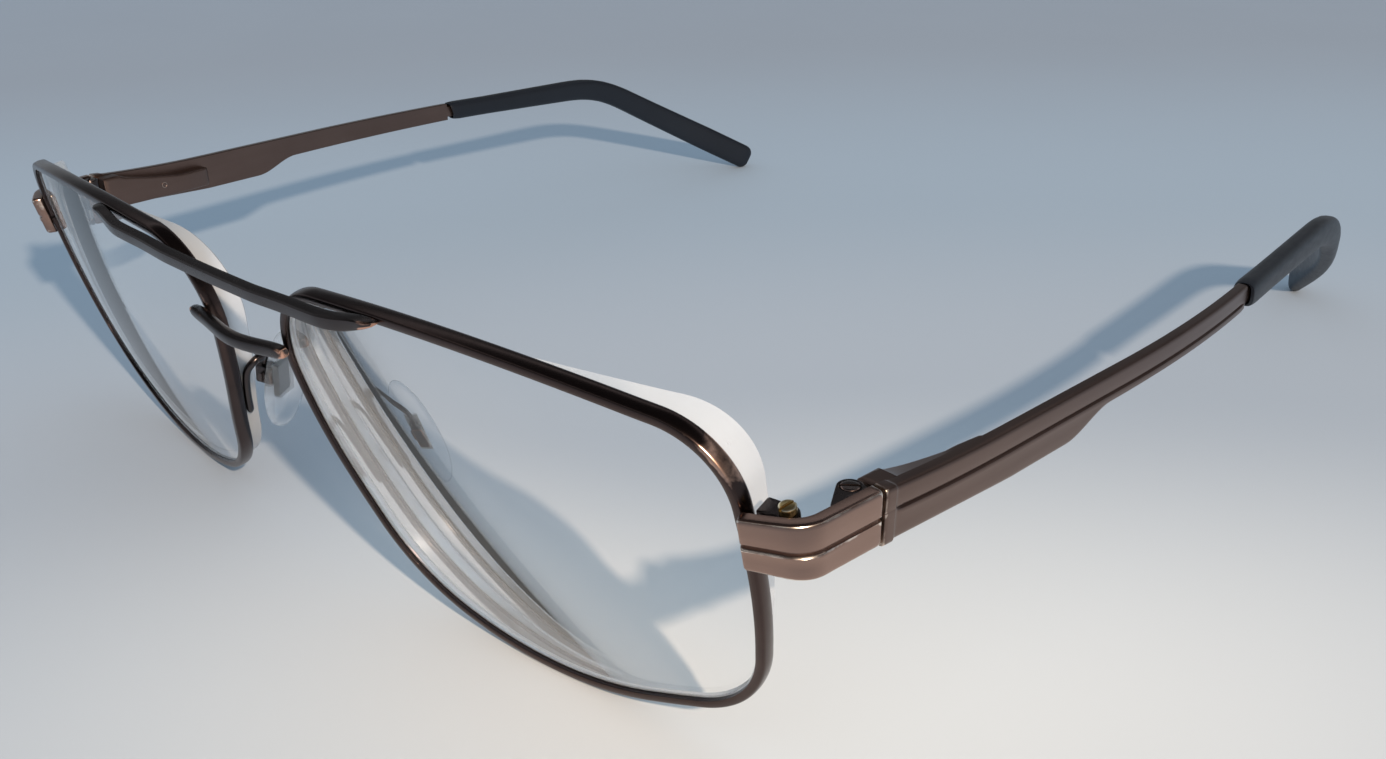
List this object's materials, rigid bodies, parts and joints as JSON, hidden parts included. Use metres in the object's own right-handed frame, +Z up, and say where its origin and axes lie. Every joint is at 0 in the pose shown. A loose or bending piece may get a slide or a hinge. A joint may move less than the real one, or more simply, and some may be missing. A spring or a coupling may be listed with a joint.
{
  "type": "aviator eyeglasses",
  "caption": "Metal aviator eyeglasses with clear lenses, a flat brow bar over a lower bridge, nose pads on wire arms, folding temples with spring hinges and dark ear tips.",
  "frame": {"origin": "middle of the bounding box in X and Y, on the table plane that the lower rims and the ear tips stand on", "axes": "+X to the wearer's left, -Y to the front (the lenses face -Y), +Y back along the temples, +Z up"},
  "size_m": [0.149, 0.1606, 0.0399],
  "materials": {
    "dark_metal": "dark gunmetal plating with a satin sheen and small worn copper edges",
    "brown_metal": "satin brown gunmetal plating",
    "steel": "bare small steel parts",
    "gold": "gold coloured screw",
    "sleeve": "dark navy to black acetate, satin",
    "lens": "clear and glossy, ground edge",
    "silicone": "clear silicone, slightly frosted"
  },
  "bodies": {
    "front": {"brow_bar": "dark_metal", "bridge": "dark_metal", "rim_left": "dark_metal", "rim_right": "dark_metal", "lens_left": "lens", "lens_right": "lens", "endpiece_left": "brown_metal", "endpiece_right": "brown_metal", "knuckles_left": "brown_metal", "knuckles_right": "brown_metal", "lock_upper_left": "dark_metal", "lock_upper_right": "dark_metal", "lock_lower_left": "dark_metal", "lock_lower_right": "dark_metal", "lock_screw_left": "gold", "lock_screw_right": "gold", "pad_arm_left": "dark_metal", "pad_arm_right": "dark_metal", "pad_box_left": "steel", "pad_box_right": "steel", "pad_screw_left": "gold", "pad_screw_right": "gold"},
    "hinge_pin_left": {"hinge_screw_left": "steel"},
    "slider_left": {"slider_left": "steel"},
    "temple_left": {"temple_left": "brown_metal", "tip_left": "sleeve", "spring_box_left": "brown_metal", "spring_stop_left": "steel", "spring_left": "steel"},
    "nose_pad_left": {"pad_left": "silicone", "pad_core_left": "steel"},
    "hinge_pin_right": {"hinge_screw_right": "steel"},
    "slider_right": {"slider_right": "steel"},
    "temple_right": {"temple_right": "brown_metal", "tip_right": "sleeve", "spring_box_right": "brown_metal", "spring_stop_right": "steel", "spring_right": "steel"},
    "nose_pad_right": {"pad_right": "silicone", "pad_core_right": "steel"}
  },
  "joints": [
    {"name": "temple_fold_left", "type": "hinge", "parent": "front", "child": "hinge_pin_left", "pos_m": [0.06701, -0.06331, 0.02855], "axis": [0, 0, 1], "range_deg": [0, 86]},
    {"name": "temple_flex_left", "type": "hinge", "parent": "hinge_pin_left", "child": "slider_left", "pos_m": [0.06701, -0.06331, 0.02855], "axis": [0, 0, 1], "range_deg": [-12, 0], "stiffness_Nm_per_rad": 0.3},
    {"name": "spring_slide_left", "type": "slide", "parent": "slider_left", "child": "temple_left", "axis": [0.0923, 0.9949, -0.0419], "range_m": [0, 0.0007], "deforming": ["spring_left"]},
    {"name": "pad_rock_left", "type": "hinge", "parent": "front", "child": "nose_pad_left", "pos_m": [0.0139, -0.06854, 0.01808], "axis": [0.4555, 0.8829, 0.1136], "range_deg": [-8, 8]},
    {"name": "temple_fold_right", "type": "hinge", "parent": "front", "child": "hinge_pin_right", "pos_m": [-0.06701, -0.06331, 0.02855], "axis": [0, 0, 1], "range_deg": [-86, 0]},
    {"name": "temple_flex_right", "type": "hinge", "parent": "hinge_pin_right", "child": "slider_right", "pos_m": [-0.06701, -0.06331, 0.02855], "axis": [0, 0, 1], "range_deg": [0, 12], "stiffness_Nm_per_rad": 0.3},
    {"name": "spring_slide_right", "type": "slide", "parent": "slider_right", "child": "temple_right", "axis": [-0.0923, 0.9949, -0.0419], "range_m": [0, 0.0007], "deforming": ["spring_right"]},
    {"name": "pad_rock_right", "type": "hinge", "parent": "front", "child": "nose_pad_right", "pos_m": [-0.0139, -0.06854, 0.01808], "axis": [-0.4555, 0.8829, 0.1136], "range_deg": [-8, 8]}
  ],
  "couplings": [
    {"joint": "spring_slide_left", "follows": "temple_flex_left", "m_per_rad": -0.0029},
    {"joint": "spring_slide_right", "follows": "temple_flex_right", "m_per_rad": 0.0029}
  ]
}
